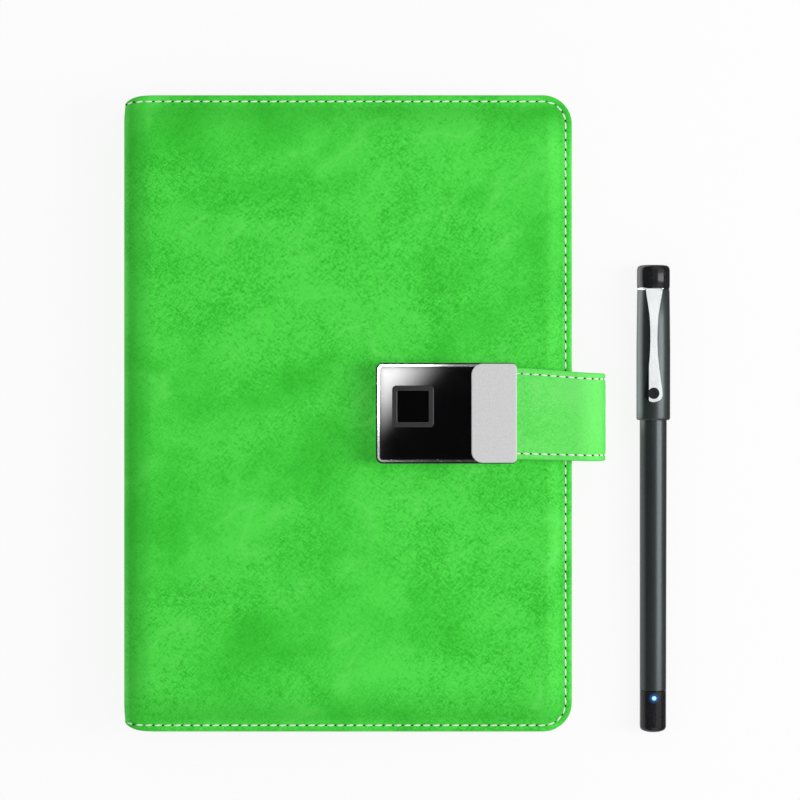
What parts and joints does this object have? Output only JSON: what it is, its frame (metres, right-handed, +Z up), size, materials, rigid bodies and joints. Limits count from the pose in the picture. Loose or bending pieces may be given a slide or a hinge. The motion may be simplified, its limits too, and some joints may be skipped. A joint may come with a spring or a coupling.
{
  "type": "smart notebook",
  "caption": "Padded leatherette notebook with a hinged cover, a fingerprint lock that latches its strap, an inner page block and a capped smart pen beside it.",
  "frame": {"origin": "middle of the back cover's outer face, which the closed notebook rests on", "axes": "+X from the spine to the fore-edge and strap, +Y to the head of the pages, +Z up through the front cover and the lock"},
  "size_m": [0.1895, 0.2208, 0.0333],
  "materials": {
    "green_leather": "waxed green leatherette with a soft sheen",
    "strap_lining_leather": "green leatherette, smooth",
    "lining": "dark grey suede cloth",
    "greyboard": "raw greyboard",
    "foam": "soft foam sheet",
    "card": "matt card",
    "pages": "cream writing paper",
    "binding_cloth": "book cloth",
    "strap_core": "flexible stiffener",
    "steel": "plain steel",
    "lock_chrome": "polished chrome",
    "lock_plastic": "moulded black",
    "black_glass": "black backed glass",
    "sensor_frame_metal": "dark satin metal",
    "sensor_black": "black sensor face",
    "pale_plate": "light grey satin",
    "motor_can": "drawn steel can",
    "gear_brass": "cut brass",
    "circuit": "solder mask",
    "cell": "foil pouch",
    "pen_satin": "dark grey satin lacquer",
    "cap_satin": "dark grey satin lacquer",
    "pen_gloss": "black gloss",
    "pen_chrome": "polished chrome",
    "pen_inlay": "black enamel",
    "cap_liner": "moulded black",
    "refill_brass": "drawn brass",
    "sensor_ceramic": "pressed ceramic",
    "camera_glass": "dark filter glass",
    "indicator": "lit blue lens"
  },
  "bodies": {
    "back_cover": {"back_leather": "green_leather", "back_foam": "foam", "back_board": "greyboard", "back_lining": "lining", "back_sleeve": "lining", "back_hinge_leather": "green_leather", "book_back_cover": "card", "lower_pages": "pages", "book_binding": "binding_cloth", "strap_root_leather": "green_leather", "strap_root_lining": "strap_lining_leather"},
    "spine": {"spine_leather": "green_leather", "spine_board": "greyboard", "spine_lining": "lining", "front_hinge_leather": "green_leather"},
    "front_cover": {"front_leather": "green_leather", "front_foam": "foam", "front_board": "greyboard", "front_lining": "lining", "card_pocket": "lining", "lock_housing": "lock_chrome", "lock_base": "lock_plastic", "glass_panel": "black_glass", "sensor_frame": "sensor_frame_metal", "fingerprint_sensor": "sensor_black", "end_plate": "pale_plate", "gear_motor": "motor_can", "lock_circuit_board": "circuit", "lock_battery": "cell", "charging_socket": "steel", "lock_backing_plate": "steel", "lock_screws": "steel", "latch_spring": "steel"},
    "upper_pages": {"upper_pages": "pages", "book_front_cover": "card"},
    "strap": {"strap_leather": "green_leather", "strap_lining": "strap_lining_leather", "strap_core": "strap_core", "strap_tongue": "steel"},
    "latch": {"latch_slide": "steel"},
    "motor_pinion": {"pinion": "gear_brass"},
    "pen": {"pen_barrel": "pen_satin", "pen_nose": "pen_gloss", "pen_tail": "pen_gloss", "indicator_lens": "indicator", "camera_window": "camera_glass", "force_sensor": "sensor_ceramic", "pen_battery": "cell", "pen_circuit_board": "circuit"},
    "pen_cap": {"cap_tube": "cap_satin", "cap_end": "pen_gloss", "cap_ring": "pen_chrome", "cap_liner": "cap_liner", "cap_clip": "pen_chrome", "clip_inlay": "pen_inlay"},
    "refill": {"pen_refill": "refill_brass"}
  },
  "joints": [
    {"name": "spine_hinge", "type": "hinge", "parent": "back_cover", "child": "spine", "pos_m": [-0.07534, 0, 0.00176], "axis": [0, -1, 0], "range_deg": [0, 88], "deforming": ["back_hinge_leather"]},
    {"name": "front_hinge", "type": "hinge", "parent": "spine", "child": "front_cover", "pos_m": [-0.07534, 0, 0.02324], "axis": [0, -1, 0], "range_deg": [0, 88], "deforming": ["front_hinge_leather"]},
    {"name": "page_turn", "type": "hinge", "parent": "back_cover", "child": "upper_pages", "pos_m": [-0.0721, 0, 0.0125], "axis": [0, -1, 0], "range_deg": [0, 176], "deforming": ["book_binding"]},
    {"name": "strap_swing", "type": "hinge", "parent": "back_cover", "child": "strap", "pos_m": [0.0876, 0, 0.01555], "axis": [0, 1, 0], "range_deg": [0, 80], "deforming": ["strap_leather", "strap_lining", "strap_core", "strap_tongue"]},
    {"name": "latch_draw", "type": "slide", "parent": "front_cover", "child": "latch", "axis": [0, -1, 0], "range_m": [0, 0.0028], "stiffness_N_per_m": 60, "springref_m": -0.002, "deforming": ["latch_spring"]},
    {"name": "pinion_spin", "type": "hinge", "parent": "front_cover", "child": "motor_pinion", "pos_m": [0.0463, 0.0086, 0.02911], "axis": [-1, 0, 0], "range_deg": [0, 89.2]},
    {"name": "pen_lift", "type": "slide", "parent": "back_cover", "child": "pen", "axis": [0, 0, 1], "range_m": [0, 0.08]},
    {"name": "cap_pull", "type": "slide", "parent": "pen", "child": "pen_cap", "axis": [0, 0.9999, 0.012], "range_m": [0, 0.06]},
    {"name": "refill_press", "type": "slide", "parent": "pen", "child": "refill", "axis": [0, -0.9999, -0.012], "range_m": [0, 0.0004], "stiffness_N_per_m": 400, "springref_m": -0.0005}
  ],
  "couplings": [
    {"joint": "front_hinge", "follows": "spine_hinge", "ratio": 1},
    {"joint": "page_turn", "follows": "spine_hinge", "ratio": 2},
    {"joint": "pinion_spin", "follows": "latch_draw", "rad_per_m": 555.56}
  ]
}
